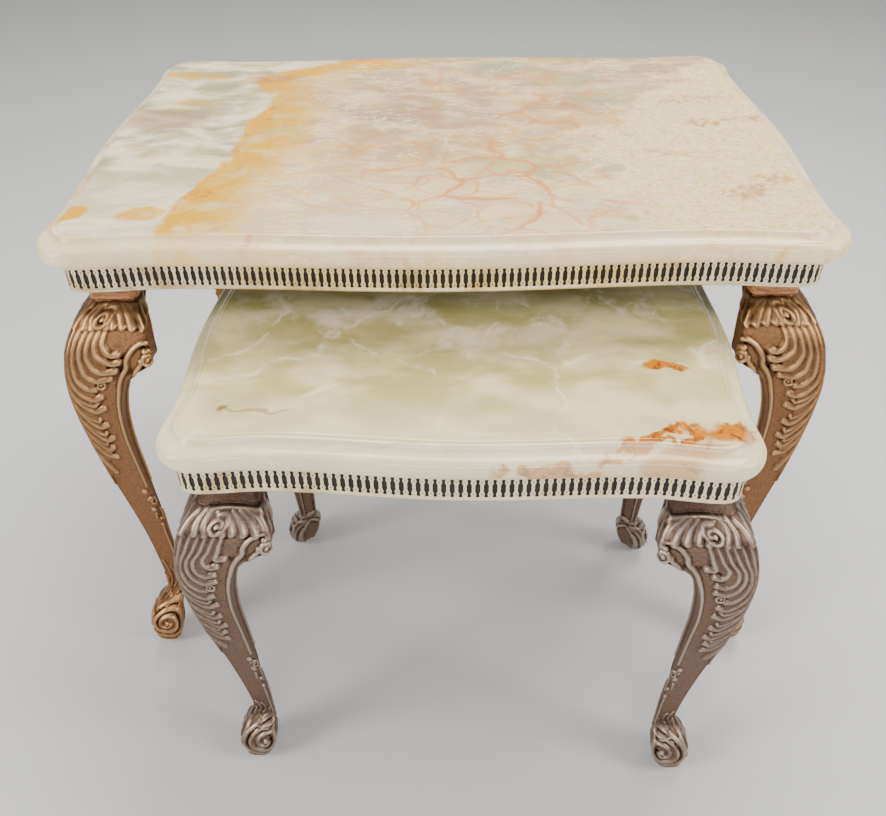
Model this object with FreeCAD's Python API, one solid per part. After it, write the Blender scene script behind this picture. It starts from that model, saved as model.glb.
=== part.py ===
"""Two nesting tables with serpentine onyx tops on cast cabriole legs, the small one drawn out.

Millimetres, +Z up, the floor at Z = 0 and the fronts towards -Y. Each table is modelled about its own
centre, then the small one is put where it stands, and the whole set is moved so that the origin lies on
the floor at the centre of the set's bounding box.
"""

import FreeCAD, Part

import math
import os

# Sizes of each table: width, depth and height over all, and how far its outline dips between the
# bulge in the middle of a side and the corner. "reach" is how far the dip lies from the side's middle.
# The strip and the legs' outermost ridges are set in from the widest line of the stone, or out if negative;
# "legs_aside" moves all four legs to the right under the top, and "foot_inset" draws the feet in under them.
LARGE = {
    "width": 600.0,
    "depth": 424.0,
    "height": 460.0,
    "front_dip": 7.5,
    "front_flare": 4.5,
    "front_reach": 205.0,
    "side_dip": 6.7,
    "side_flare": 2.2,
    "side_reach": 150.0,
    "corner_radius": 28.0,
    "strip_inset": 14.0,
    "ridge_side_inset": 2.0,
    "ridge_front_inset": 2.0,
    "legs_aside": 0.0,
    "foot_inset": -6.0,
    "leg_height_scale": 1.0,
    "pins_along_front": 9,
    "pins_along_side": 6,
}
SMALL = {
    "width": 404.0,
    "depth": 300.0,
    "height": 385.0,
    "front_dip": 5.5,
    "front_flare": 4.0,
    "front_reach": 132.0,
    "side_dip": 4.5,
    "side_flare": 2.5,
    "side_reach": 92.0,
    "corner_radius": 26.0,
    "strip_inset": 9.5,
    "ridge_side_inset": -5.0,
    "ridge_front_inset": 0.0,
    "legs_aside": 4.5,
    "foot_inset": 1.5,
    "leg_height_scale": 0.816,
    "pins_along_front": 6,
    "pins_along_side": 4,
}

# How the small table stands at rest: its centre from the large one's, and its turn about the vertical.
SMALL_SIDE = 14.0
SMALL_OUT = 199.0
SMALL_TURN_DEG = -1.9

# How an outline changes as it is drawn in: what each millimetre takes from its corners and its dips' reach.
RADIUS_LOSS_SHARE = 0.55
REACH_LOSS_SHARE = 0.5
OUTLINE_STEPS = 24

# The stone slab and its moulded edge: (inset from the widest line, height above the widest line).
STONE_ABOVE_WIDEST = 12.0
STONE_BELOW_WIDEST = 10.0
EDGE_PROFILE = (
    (3.5, -10.0),
    (1.2, -7.6),
    (0.0, -3.0),
    (0.0, 0.0),
    (0.9, 3.0),
    (3.2, 5.2),
    (6.0, 5.9),
    (9.0, 6.9),
    (11.6, 8.9),
    (12.6, 10.6),
    (14.6, 10.9),
    (15.4, 12.0),
)

# Under the stone: adhesive dabs, the board, and the pierced strip round it.
DAB_THICKNESS = 1.0
DAB_RADIUS = 16.0
DAB_INSET = 75.0
BOARD_THICKNESS = 22.5
STRIP_THICKNESS = 0.8
STRIP_HEIGHT = 22.5
STRIP_BELOW_BOARD = 1.5
STRIP_CORNER_RADIUS = 14.0
PIN_HEAD_RADIUS = 0.9
PIN_HEAD_LENGTH = 0.5
PIN_SHANK_RADIUS = 0.5
PIN_LENGTH = 9.0
PIN_ROW_ABOVE_BOTTOM = 6.0

# Legs, by distance below a level over the floor: the inset of the outer ridge and of the inner edge from the
# widest line of the stone, how far the side faces run back, as a share of their width, before the slanted
# face behind joins them, and how much of the table's foot inset applies. The small table's legs are the
# same but shorter.
PAD_OVERHANG = 0.5
PAD_CORNER_RADIUS = 6.0
RIDGE_LEAST_INSET = 2.0
DESIGN_LEVEL = 407.0
CUTTING_ROOM = 100.0
LEG_PROFILE = (
    (7, 29.5, 66, 0.95, 0),
    (10, 28.5, 66, 0.95, 0),
    (13, 25, 67, 0.72, 0),
    (18, 19, 69, 0.5, 0),
    (30, 11, 73, 0.37, 0),
    (42, 6.5, 75, 0.3, 0),
    (52, 4.5, 75, 0.3, 0),
    (57, 3.7, 70, 0.32, 0),
    (62, 3.1, 61, 0.36, 0),
    (68, 2.6, 54, 0.4, 0),
    (76, 2, 49, 0.45, 0),
    (90, 2, 44, 0.45, 0),
    (110, 2.8, 40.5, 0.45, 0),
    (139, 5, 39, 0.45, 0),
    (170, 8, 39.5, 0.45, 0),
    (203, 12, 40, 0.45, 0),
    (235, 15.8, 40.5, 0.45, 0),
    (260, 18.3, 40, 0.45, 0),
    (290, 21, 41, 0.45, 0.1),
    (320, 23, 41, 0.45, 0.2),
    (344, 23, 40.5, 0.45, 0.5),
    (353, 15, 41, 0.5, 0.8),
    (364, 8.5, 41, 0.6, 1),
    (378, 6, 39.5, 0.65, 1),
    (392, 7, 35.5, 0.65, 1),
    (401, 10, 31, 0.6, 1),
    (407, 14, 26, 0.5, 1),
)

# The stud that holds each leg, and the threaded insert that it screws into.
STUD_RADIUS = 4.0
STUD_IN_LEG = 22.0
STUD_IN_BOARD = 18.0
STUD_TIP_GAP = 1.0
INSERT_RADIUS = 6.5
INSERT_LENGTH = 14.0
INSERT_FLANGE_RADIUS = 9.0
INSERT_FLANGE_THICKNESS = 1.6


def vector(x, y, z=0.0):
    return FreeCAD.Vector(x, y, z)


def side_depth(along, dip, flare, reach, end):
    """How far a side lies inside its widest line: a half wave to the dip, then one out to the flare."""
    if along <= reach:
        return dip * (1 - math.cos(math.pi * along / reach)) / 2
    return dip - flare * (1 - math.cos(math.pi * (along - reach) / (end - reach))) / 2


def outline(table, inset, z, radius=None):
    """The serpentine outline of a table, drawn in by inset, as one closed wire at height z."""
    if radius is None:
        radius = table["corner_radius"] - inset * RADIUS_LOSS_SHARE
    half_x = table["width"] / 2 - inset
    half_y = table["depth"] / 2 - inset
    corner_x = half_x - table["side_dip"] + table["side_flare"] - radius
    corner_y = half_y - table["front_dip"] + table["front_flare"] - radius
    front_reach = table["front_reach"] - inset * REACH_LOSS_SHARE
    side_reach = table["side_reach"] - inset * REACH_LOSS_SHARE

    def front(x):
        return half_y - side_depth(abs(x), table["front_dip"], table["front_flare"], front_reach, corner_x)

    def side(y):
        return half_x - side_depth(abs(y), table["side_dip"], table["side_flare"], side_reach, corner_y)

    edges = []
    shares = [2 * i / OUTLINE_STEPS - 1 for i in range(OUTLINE_STEPS + 1)]
    xs = [corner_x * share for share in shares]
    ys = [corner_y * share for share in shares]
    sides = [
        [vector(x, -front(x), z) for x in xs],
        [vector(side(y), y, z) for y in ys],
        [vector(-x, front(x), z) for x in xs],
        [vector(-side(y), -y, z) for y in ys],
    ]
    leans = [vector(1, 0), vector(0, 1), vector(-1, 0), vector(0, -1)]
    centres = [(corner_x, -corner_y), (corner_x, corner_y), (-corner_x, corner_y), (-corner_x, -corner_y)]
    for number in range(4):
        curve = Part.BSplineCurve()
        curve.interpolate(sides[number], InitialTangent=leans[number], FinalTangent=leans[number])
        edges.append(curve.toShape())
        turn = math.radians(45 + 90 * (number - 1))
        cx, cy = centres[number]
        middle = vector(cx + radius * math.cos(turn), cy + radius * math.sin(turn), z)
        edges.append(Part.Arc(sides[number][-1], middle, sides[(number + 1) % 4][0]).toShape())
    return Part.Wire(edges)


def prism(table, inset, low, high, radius):
    face = Part.Face(outline(table, inset, low, radius))
    return face.extrude(vector(0, 0, high - low))


def widest(table):
    return table["height"] - STONE_ABOVE_WIDEST


def board_top(table):
    return widest(table) - STONE_BELOW_WIDEST - DAB_THICKNESS


def board_bottom(table):
    return board_top(table) - BOARD_THICKNESS


def stone_top(table):
    level = widest(table)
    wires = [outline(table, inset, level + rise) for inset, rise in EDGE_PROFILE]
    return Part.makeLoft(wires, True, True)


def dab_places(table):
    x = table["width"] / 2 - DAB_INSET
    y = table["depth"] / 2 - DAB_INSET
    return [(sx * x, sy * y) for sy in (-1, 1) for sx in (-1, 0, 1)]


def adhesive_dabs(table):
    level = board_top(table)
    dabs = [Part.makeCylinder(DAB_RADIUS, DAB_THICKNESS, vector(x, y, level)) for x, y in dab_places(table)]
    return Part.makeCompound(dabs)


def leg_corner(table):
    """The point in plan, by the front left leg, that the leg profile's insets are measured from."""
    x = table["ridge_side_inset"] - RIDGE_LEAST_INSET - table["width"] / 2
    y = table["ridge_front_inset"] - RIDGE_LEAST_INSET - table["depth"] / 2
    return x, y


def leg_height(table, drop):
    """The height above the floor of a distance below the level that the leg profile counts from."""
    return table["leg_height_scale"] * (DESIGN_LEVEL - drop)


def leg_top(table):
    return leg_height(table, LEG_PROFILE[0][0])


def pad_thickness(table):
    return board_bottom(table) - leg_top(table)


def leg_centre(table):
    """The stud's place: the middle of the leg's top, as (x, y) of the front left leg."""
    outer, inner = LEG_PROFILE[0][1:3]
    x, y = leg_corner(table)
    return x + (outer + inner) / 2, y + (outer + inner) / 2


def closed_face(first, second):
    """A face between two smooth curves, each given by points down the leg, closed by straight ends."""
    edges = []
    for points in (first, second[::-1]):
        curve = Part.BSplineCurve()
        curve.interpolate(points)
        edges.append(curve.toShape())
    edges.insert(1, Part.LineSegment(first[-1], second[-1]).toShape())
    edges.append(Part.LineSegment(second[0], first[0]).toShape())
    return Part.Face(Part.Wire(edges))


def front_left_leg(table):
    """A cabriole leg: its side view extruded along X and along Y, and its diagonal view extruded across."""
    left, front = leg_corner(table)
    heights = [leg_height(table, row[0]) for row in LEG_PROFILE]
    outer = [row[1] + table["foot_inset"] * row[4] for row in LEG_PROFILE]
    inner = [row[2] + table["foot_inset"] * row[4] for row in LEG_PROFILE]
    back = [o + i + row[3] * (i - o) for o, i, row in zip(outer, inner, LEG_PROFILE)]

    def curve_points(insets, x_share, y_share):
        return [vector(left + i * x_share, front + i * y_share, z) for i, z in zip(insets, heights)]

    from_front = closed_face(curve_points(outer, 1, 0), curve_points(inner, 1, 0))
    from_side = closed_face(curve_points(outer, 0, 1), curve_points(inner, 0, 1))
    from_corner = closed_face(curve_points([0] * len(back), 0.5, 0.5), curve_points(back, 0.5, 0.5))
    from_corner.translate(vector(-CUTTING_ROOM, CUTTING_ROOM, 0))
    leg = from_front.extrude(vector(0, CUTTING_ROOM, 0))
    leg = leg.common(from_side.extrude(vector(CUTTING_ROOM, 0, 0)))
    leg = leg.common(from_corner.extrude(vector(2 * CUTTING_ROOM, -2 * CUTTING_ROOM, 0)))
    x, y = leg_centre(table)
    hole = Part.makeCylinder(STUD_RADIUS, STUD_IN_LEG, vector(x, y, leg_top(table) - STUD_IN_LEG))
    return leg.cut(hole).Solids[0]


def front_left_pad(table):
    outer, inner = LEG_PROFILE[0][1:3]
    left, front = leg_corner(table)
    low = outer - PAD_OVERHANG
    side = inner - outer + 2 * PAD_OVERHANG
    thickness = pad_thickness(table)
    pad = Part.makeBox(side, side, thickness, vector(left + low, front + low, leg_top(table)))
    upright = [edge for edge in pad.Edges if edge.Vertexes[0].Z != edge.Vertexes[1].Z]
    pad = pad.makeFillet(PAD_CORNER_RADIUS, upright)
    x, y = leg_centre(table)
    return pad.cut(Part.makeCylinder(STUD_RADIUS, thickness, vector(x, y, leg_top(table))))


def stud_places(table):
    x, y = leg_centre(table)
    return [(sx * x + table["legs_aside"], sy * y) for sy in (1, -1) for sx in (1, -1)]


def leg_studs(table):
    low = leg_top(table) - STUD_IN_LEG + STUD_TIP_GAP
    length = STUD_IN_LEG - STUD_TIP_GAP + pad_thickness(table) + STUD_IN_BOARD
    studs = [Part.makeCylinder(STUD_RADIUS, length, vector(x, y, low)) for x, y in stud_places(table)]
    return Part.makeCompound(studs)


def insert_body(table, x, y):
    """The insert as a plain solid: a barrel, with a flange that lies in the board's top."""
    top = board_top(table)
    flange = Part.makeCylinder(
        INSERT_FLANGE_RADIUS, INSERT_FLANGE_THICKNESS, vector(x, y, top - INSERT_FLANGE_THICKNESS)
    )
    barrel = Part.makeCylinder(INSERT_RADIUS, INSERT_LENGTH, vector(x, y, top - INSERT_LENGTH))
    return flange.fuse(barrel).removeSplitter()


def stud_hole(table, x, y):
    return Part.makeCylinder(STUD_RADIUS, BOARD_THICKNESS, vector(x, y, board_bottom(table)))


def threaded_inserts(table):
    inserts = [insert_body(table, x, y).cut(stud_hole(table, x, y)) for x, y in stud_places(table)]
    return Part.makeCompound([insert.Solids[0] for insert in inserts])


def pin_spots(table):
    """Each pin's point on the strip's outer face and the direction that its head faces."""
    spots = []
    half_x = table["width"] / 2 - table["strip_inset"]
    half_y = table["depth"] / 2 - table["strip_inset"]
    front_reach = table["front_reach"] - table["strip_inset"] * REACH_LOSS_SHARE
    side_reach = table["side_reach"] - table["strip_inset"] * REACH_LOSS_SHARE
    count = table["pins_along_front"]
    for number in range(count):
        x = front_reach * (2 * number / (count - 1) - 1)
        dip = side_depth(abs(x), table["front_dip"], 0, front_reach, front_reach)
        spots.append((x, -(half_y - dip), vector(0, -1)))
        spots.append((x, half_y - dip, vector(0, 1)))
    count = table["pins_along_side"]
    for number in range(count):
        y = side_reach * (2 * number / (count - 1) - 1)
        dip = side_depth(abs(y), table["side_dip"], 0, side_reach, side_reach)
        spots.append((-(half_x - dip), y, vector(-1, 0)))
        spots.append((half_x - dip, y, vector(1, 0)))
    return spots


def strip_bottom(table):
    return board_bottom(table) - STRIP_BELOW_BOARD


def gallery_pins(table):
    z = strip_bottom(table) + PIN_ROW_ABOVE_BOTTOM
    pins = []
    for x, y, facing in pin_spots(table):
        head = Part.makeCylinder(PIN_HEAD_RADIUS, PIN_HEAD_LENGTH, vector(x, y, z), facing)
        start = vector(x, y, z) + facing * (PIN_HEAD_LENGTH / 2)
        shank = Part.makeCylinder(PIN_SHANK_RADIUS, PIN_LENGTH, start, facing * -1)
        pins.append(head.fuse(shank).removeSplitter().Solids[0])
    return Part.makeCompound(pins)


def gallery_strip(table):
    low = strip_bottom(table)
    high = low + STRIP_HEIGHT
    inside = table["strip_inset"] + STRIP_THICKNESS
    outer = prism(table, table["strip_inset"], low, high, STRIP_CORNER_RADIUS)
    inner = prism(table, inside, low, high, STRIP_CORNER_RADIUS - STRIP_THICKNESS)
    return outer.cut(inner).cut(gallery_pins(table)).Solids[0]


def top_board(table):
    board = prism(
        table,
        table["strip_inset"] + STRIP_THICKNESS,
        board_bottom(table),
        board_top(table),
        STRIP_CORNER_RADIUS - STRIP_THICKNESS,
    )
    for x, y in stud_places(table):
        board = board.cut(insert_body(table, x, y)).cut(stud_hole(table, x, y))
    return board.cut(gallery_pins(table)).Solids[0]


def four_corners(shape, aside):
    """The front left shape and its mirror images, all moved aside, by the corner's name."""
    across = vector(1, 0)
    along = vector(0, 1)
    origin = vector(0, 0)
    front_right = shape.mirror(origin, across)
    shapes = {
        "front_left": shape,
        "front_right": front_right,
        "back_left": shape.mirror(origin, along),
        "back_right": front_right.mirror(origin, along),
    }
    for moved in shapes.values():
        moved.translate(vector(aside, 0))
    return shapes


def build_table(prefix, table):
    shapes = {
        prefix + "_stone_top": stone_top(table),
        prefix + "_top_board": top_board(table),
        prefix + "_adhesive_dabs": adhesive_dabs(table),
        prefix + "_gallery_strip": gallery_strip(table),
        prefix + "_gallery_pins": gallery_pins(table),
        prefix + "_leg_studs": leg_studs(table),
        prefix + "_threaded_inserts": threaded_inserts(table),
    }
    for corner, leg in four_corners(front_left_leg(table), table["legs_aside"]).items():
        shapes[prefix + "_leg_" + corner] = leg
    for corner, pad in four_corners(front_left_pad(table), table["legs_aside"]).items():
        shapes[prefix + "_leg_pad_" + corner] = pad
    return shapes


def main():
    large = build_table("large", LARGE)
    small = build_table("small", SMALL)
    for shape in small.values():
        shape.rotate(vector(0, 0), vector(0, 0, 1), SMALL_TURN_DEG)
        shape.translate(vector(SMALL_SIDE, -SMALL_OUT, 0))
    nodes = {**large, **small}
    box = Part.makeCompound(list(nodes.values())).optimalBoundingBox(False)
    to_origin = vector(-(box.XMin + box.XMax) / 2, -(box.YMin + box.YMax) / 2, 0)
    os.makedirs("parts", exist_ok=True)
    for name, shape in nodes.items():
        shape.translate(to_origin)
        shape.exportStep("parts/" + name + ".step")
    print("moved to the origin by", to_origin)


main()
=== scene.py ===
import functools
import math
import operator

import bpy
import numpy as np
from mathutils import Matrix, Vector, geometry


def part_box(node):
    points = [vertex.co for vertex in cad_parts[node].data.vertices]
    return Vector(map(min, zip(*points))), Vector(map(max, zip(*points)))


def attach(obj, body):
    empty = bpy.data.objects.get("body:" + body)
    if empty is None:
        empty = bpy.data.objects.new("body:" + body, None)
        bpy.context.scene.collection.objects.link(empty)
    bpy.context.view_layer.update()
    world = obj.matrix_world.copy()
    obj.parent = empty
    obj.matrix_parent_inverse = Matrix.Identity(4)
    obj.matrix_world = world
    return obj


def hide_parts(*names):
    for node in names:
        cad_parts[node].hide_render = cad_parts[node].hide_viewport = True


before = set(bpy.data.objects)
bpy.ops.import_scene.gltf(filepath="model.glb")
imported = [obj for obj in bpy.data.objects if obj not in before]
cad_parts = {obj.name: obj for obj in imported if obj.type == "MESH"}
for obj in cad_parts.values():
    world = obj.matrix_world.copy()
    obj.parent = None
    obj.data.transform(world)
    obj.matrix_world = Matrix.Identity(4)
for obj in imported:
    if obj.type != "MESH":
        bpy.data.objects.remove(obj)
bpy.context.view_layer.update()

# The looks of two nesting tables: onyx slabs, pierced brass galleries and cast acanthus legs.
# Sizes are in millimetres, and place() turns a table's own plan into the frame's metres.

MM = 0.001

# Each table's measures: the large one's first, then the small one's.
MEASURES = {
    "prefix": ("large_", "small_"),
    "body": ("large_table", "small_table"),
    "width": (600.0, 404.0),
    "depth": (424.0, 300.0),
    "front_dip": (7.5, 5.5),
    "front_flare": (4.5, 4.0),
    "front_reach": (205.0, 132.0),
    "side_dip": (6.7, 4.5),
    "side_flare": (2.2, 2.5),
    "side_reach": (150.0, 92.0),
    "corner_radius": (28.0, 26.0),
    "strip_inset": (14.0, 9.5),
    "ridge_side_inset": (2.0, -5.0),
    "ridge_front_inset": (2.0, 0.0),
    "legs_aside": (0.0, 4.5),
    "foot_inset": (-6.0, 1.5),
    "leg_height_scale": (1.0, 0.816),
    "scroll_end": (189.0, 215.0),
    "foot_eye": ((0.56, 371.0), (0.74, 368.0)),
    "leaf_marks": (
        (0, 18, 44, 70, 94, 127, 150, 184, 197, 221, 244, 250, 318, 344, 371, 407),
        (0, 29, 61, 97, 125, 160, 185, 212, 228, 245, 283, 294, 325, 344, 367, 407),
    ),
    "pins_along_front": (9, 6),
    "pins_along_side": (6, 4),
    "turn": (0.0, math.radians(-1.9)),
}
CORNERS = ("front_left", "front_right", "back_left", "back_right")
LARGE, SMALL = ({name: pair[number] for name, pair in MEASURES.items()} for number in (0, 1))
for table in (LARGE, SMALL):
    low, high = (np.array(corner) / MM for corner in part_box(table["prefix"] + "stone_top"))
    table["centre"] = (low + high)[:2] / 2
    table["top"] = high[2]
    table["strip_bottom"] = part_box(table["prefix"] + "gallery_strip")[0][2] / MM

# The stone's moulded edge, as (inset from the widest line, height above that line).
STONE_ABOVE_WIDEST = 12.0
EDGE_PROFILE = (
    (30.0, -10.0), (6.0, -10.0), (3.5, -9.6), (1.4, -7.8), (0.3, -4.6),
    (0.0, -1.2), (0.5, 2.0), (1.9, 4.3), (3.6, 5.3), (6.0, 5.8),
    (8.6, 6.5), (10.8, 7.9), (12.0, 9.6), (12.5, 10.5), (13.2, 10.8),
    (14.3, 10.9), (15.0, 11.3), (15.6, 11.8), (16.6, 12.0), (22.0, 12.0),
)
PROFILE_STEPS = 3
RADIUS_LOSS_SHARE = 0.55
REACH_LOSS_SHARE = 0.5
SIDE_STEPS = 96
CORNER_STEPS = 16

# The pierced strip. A cell is centred on a bar; openings lie half in each of two neighbouring cells.
CELL_PITCH = 5.6
STRIP_CORNER_RADIUS = 14.0
STRIP_THICKNESS = 0.8
STRIP_HEIGHT = 22.5
HOLE_RADIUS = 0.55
HOLE_HEIGHTS = (6.0, 16.5)
HALF_OPENING = (
    (0.0, 3.2), (0.8, 3.35), (1.25, 3.9), (1.35, 4.5), (1.15, 5.2),
    (0.95, 5.8), (0.95, 6.3), (1.15, 7.0), (1.5, 7.7), (1.72, 8.6),
    (1.78, 9.6), (1.7, 10.6), (1.66, 11.25),
)
RIM_ROWS = (0.4, 0.9, 1.4, 1.9)
RIM_PROUD = 0.35

# Legs, by distance below a level over the floor: the inset of the outer ridge and of the inner edge from the
# stone's widest line, how far the sides run back as a share of their width, and the foot inset's share.
DESIGN_LEVEL = 407.0
RIDGE_LEAST_INSET = 2.0
LEG_PROFILE = (
    (7, 29.5, 66, 0.92, 0), (10, 28.5, 66, 0.92, 0), (13, 25, 67, 0.72, 0), (18, 19, 69, 0.5, 0),
    (30, 11, 73, 0.37, 0), (42, 6.5, 75, 0.3, 0), (52, 4.5, 75, 0.3, 0), (57, 3.7, 70, 0.32, 0),
    (62, 3.1, 61, 0.36, 0), (68, 2.6, 54, 0.4, 0), (76, 2, 49, 0.45, 0), (90, 2, 44, 0.45, 0),
    (110, 2.8, 40.5, 0.45, 0), (139, 5, 39, 0.45, 0), (170, 8, 39.5, 0.45, 0), (203, 12, 40, 0.45, 0),
    (235, 15.8, 40.5, 0.45, 0), (260, 18.3, 40, 0.45, 0), (290, 21, 41, 0.45, 0.1),
    (320, 23, 41, 0.45, 0.2), (344, 23, 40.5, 0.45, 0.5), (353, 15, 41, 0.5, 0.8),
    (364, 8.5, 41, 0.6, 1), (378, 6, 39.5, 0.65, 1), (392, 7, 35.5, 0.65, 1), (401, 10, 31, 0.6, 1),
    (407, 14, 26, 0.5, 1),
)
LEG_ROWS = 520
RIDGE_COLUMNS = 5
FACE_COLUMNS = 56
EDGE_COLUMNS = 6
RETURN_COLUMNS = 14
BACK_COLUMNS = 6

# The radii that round a section's ridge and inner edge, by distance below the level.
ROUNDING = (
    (7, 9.0, 5.0), (30, 7.0, 6.0), (62, 2.4, 4.0), (80, 2.2, 3.0),
    (340, 2.2, 3.0), (358, 11.0, 7.0), (407, 11.0, 9.0),
)

# The relief: how far its ground lies behind the profile, the size at which its features are drawn, how
# blunt a stroke is, and how thick the leaf and the collar are under their strands.
GROUND_SET_BACK = 2.1
FEATURE_SIZE = 0.816
STROKE_ROUNDNESS = 0.8
LEAF_THICKNESS = 0.8
COLLAR_THICKNESS = 1.2


def smooth(points, steps):
    """A smooth line through points (Catmull-Rom), with a number of steps from each to the next."""
    points = np.asarray(points, dtype=float)
    ends = np.vstack([2 * points[0] - points[1], points, 2 * points[-1] - points[-2]])
    a, b, c, d = (ends[i : len(ends) - 3 + i, None, :] for i in range(4))
    t = (np.arange(steps) / steps)[None, :, None]
    curve = b + 0.5 * t * (c - a + t * (2 * a - 5 * b + 4 * c - d + t * (3 * (b - c) + d - a)))
    return np.vstack([curve.reshape(-1, points.shape[1]), points[-1:]])


def place(table, x, y, z):
    """A table's own plan and heights in millimetres, as points of the frame in metres."""
    cos, sin = math.cos(table["turn"]), math.sin(table["turn"])
    cx, cy = table["centre"]
    return np.stack([cx + cos * x - sin * y, cy + sin * x + cos * y, z + 0 * x], axis=-1) * MM


def add_mesh(name, points, face_sets):
    """A smooth-shaded mesh object from points and from arrays of faces, one array for each face size."""
    mesh = bpy.data.meshes.new(name)
    corners = np.concatenate([faces.ravel() for faces in face_sets]).astype(np.int32)
    sizes = np.concatenate([np.full(len(faces), faces.shape[1]) for faces in face_sets])
    mesh.vertices.add(len(points))
    mesh.vertices.foreach_set("co", np.asarray(points, dtype=np.float32).ravel())
    mesh.loops.add(len(corners))
    mesh.loops.foreach_set("vertex_index", corners)
    mesh.polygons.add(len(sizes))
    mesh.polygons.foreach_set("loop_start", (np.cumsum(sizes) - sizes).astype(np.int32))
    mesh.update(calc_edges=True)
    mesh.validate()
    mesh.shade_smooth()
    piece = bpy.data.objects.new(name, mesh)
    bpy.context.collection.objects.link(piece)
    return piece


def finish_piece(piece, table, node, material):
    """Gives a piece its material, hangs it on its table's body and hides the CAD node that it stands for."""
    piece.data.materials.append(material)
    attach(piece, table["body"])
    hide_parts(table["prefix"] + node)


def ring_faces(rows, columns):
    """Quads between rows of closed rings, facing outwards when each ring lies below the next."""
    near = np.arange(rows - 1)[:, None] * columns + np.arange(columns)[None, :]
    side = np.arange(rows - 1)[:, None] * columns + (np.arange(columns)[None, :] + 1) % columns
    return np.stack([near, side, side + columns, near + columns], axis=-1).reshape(-1, 4)


# --- The stone slabs ---


def side_depth(along, dip, flare, reach, end):
    """How far a side lies inside its widest line: a half wave to the dip, then one out to the flare."""
    along = np.abs(along)
    to_dip = dip * (1 - np.cos(np.pi * along / reach)) / 2
    to_end = dip - flare * (1 - np.cos(np.pi * (along - reach) / (end - reach))) / 2
    return np.where(along <= reach, to_dip, to_end)


def outline(table, inset, radius=None):
    """Points round a table's serpentine outline, drawn in by inset, anticlockwise from the front left."""
    if radius is None:
        radius = table["corner_radius"] - inset * RADIUS_LOSS_SHARE
    half_x = table["width"] / 2 - inset
    half_y = table["depth"] / 2 - inset
    corner_x = half_x - table["side_dip"] + table["side_flare"] - radius
    corner_y = half_y - table["front_dip"] + table["front_flare"] - radius
    reach = table["front_reach"] - inset * REACH_LOSS_SHARE
    x = np.linspace(-corner_x, corner_x, SIDE_STEPS)
    front = half_y - side_depth(x, table["front_dip"], table["front_flare"], reach, corner_x)
    reach = table["side_reach"] - inset * REACH_LOSS_SHARE
    y = np.linspace(-corner_y, corner_y, SIDE_STEPS)
    side = half_x - side_depth(y, table["side_dip"], table["side_flare"], reach, corner_y)
    sides = [(x, -front), (side, y), (-x, front), (-side, -y)]
    corners = [(corner_x, -corner_y), (corner_x, corner_y), (-corner_x, corner_y), (-corner_x, -corner_y)]
    parts = []
    for number in range(4):
        parts.append(np.stack(sides[number], axis=1))
        turn = np.pi / 2 * (number - 1 + np.arange(1, CORNER_STEPS) / CORNER_STEPS)
        parts.append(corners[number] + radius * np.stack([np.cos(turn), np.sin(turn)], axis=1))
    return np.vstack(parts)


def stone_top(table, material):
    profile = smooth(EDGE_PROFILE, PROFILE_STEPS)
    profile[:, 0] = np.maximum(profile[:, 0], 0)
    rings = []
    for inset, rise in profile:
        plan = outline(table, inset)
        level = min(table["top"] - STONE_ABOVE_WIDEST + rise, table["top"])
        rings.append(place(table, plan[:, 0], plan[:, 1], level))
    columns = len(rings[0])
    last = (len(rings) - 1) * columns
    bottom = np.arange(columns)[None, ::-1]
    top = last + np.arange(columns)[None, :]
    face_sets = [ring_faces(len(rings), columns), bottom, top]
    piece = add_mesh(table["prefix"] + "onyx_slab", np.vstack(rings), face_sets)
    finish_piece(piece, table, "stone_top", material)


# --- The pierced galleries and their pins ---


def gallery_cell(pitch):
    """One cell of the strip as flat triangles: its points, its triangles and the edges that need walls."""
    lower = np.array(HALF_OPENING)
    upper = lower[-2::-1] * (1, -1) + (0, STRIP_HEIGHT)
    side = np.vstack([lower, upper])
    side[:, 0] = pitch / 2 - side[:, 0]
    low_rim = [(pitch / 2, rise) for rise in (0, *RIM_ROWS)]
    high_rim = [(pitch / 2, STRIP_HEIGHT - drop) for drop in (*RIM_ROWS[::-1], 0)]
    right = np.vstack([low_rim, side, high_rim])
    border = np.vstack([right, right[::-1] * (-1, 1)])
    count = len(border)
    edges = [(i, (i + 1) % count) for i in range(count)]
    for i in range(1, len(RIM_ROWS) + 1):
        edges += [(i, count - 1 - i), (len(right) - 1 - i, len(right) + i)]
    points = [tuple(point) for point in border]
    hole_points = 8
    for height in HOLE_HEIGHTS:
        first = len(points)
        for i in range(hole_points):
            angle = 2 * math.pi * i / hole_points
            points.append((HOLE_RADIUS * math.cos(angle), height + HOLE_RADIUS * math.sin(angle)))
            edges.append((first + i, first + (i + 1) % hole_points))
    found = geometry.delaunay_2d_cdt(points, edges, [], 1, 1e-6)
    flat = np.array([tuple(point) for point in found[0]])
    triangles = np.array([face for face in found[2] if not in_hole(flat[list(face)].mean(axis=0))])
    return flat, triangles, wall_edges(flat, triangles, pitch)


def in_hole(point):
    return any(math.hypot(point[0], point[1] - height) < HOLE_RADIUS * 0.9 for height in HOLE_HEIGHTS)


def wall_edges(flat, triangles, pitch):
    """The directed edges that bound the cell's metal, without those shared with the next cell."""
    directed = {(t[i], t[(i + 1) % 3]) for t in triangles.tolist() for i in range(3)}
    walls = []
    for a, b in sorted(directed):
        on_border = min(abs(flat[a][0]), abs(flat[b][0])) > pitch / 2 - 1e-4
        if (b, a) not in directed and not on_border:
            walls.append((a, b))
    return np.array(walls)


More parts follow.
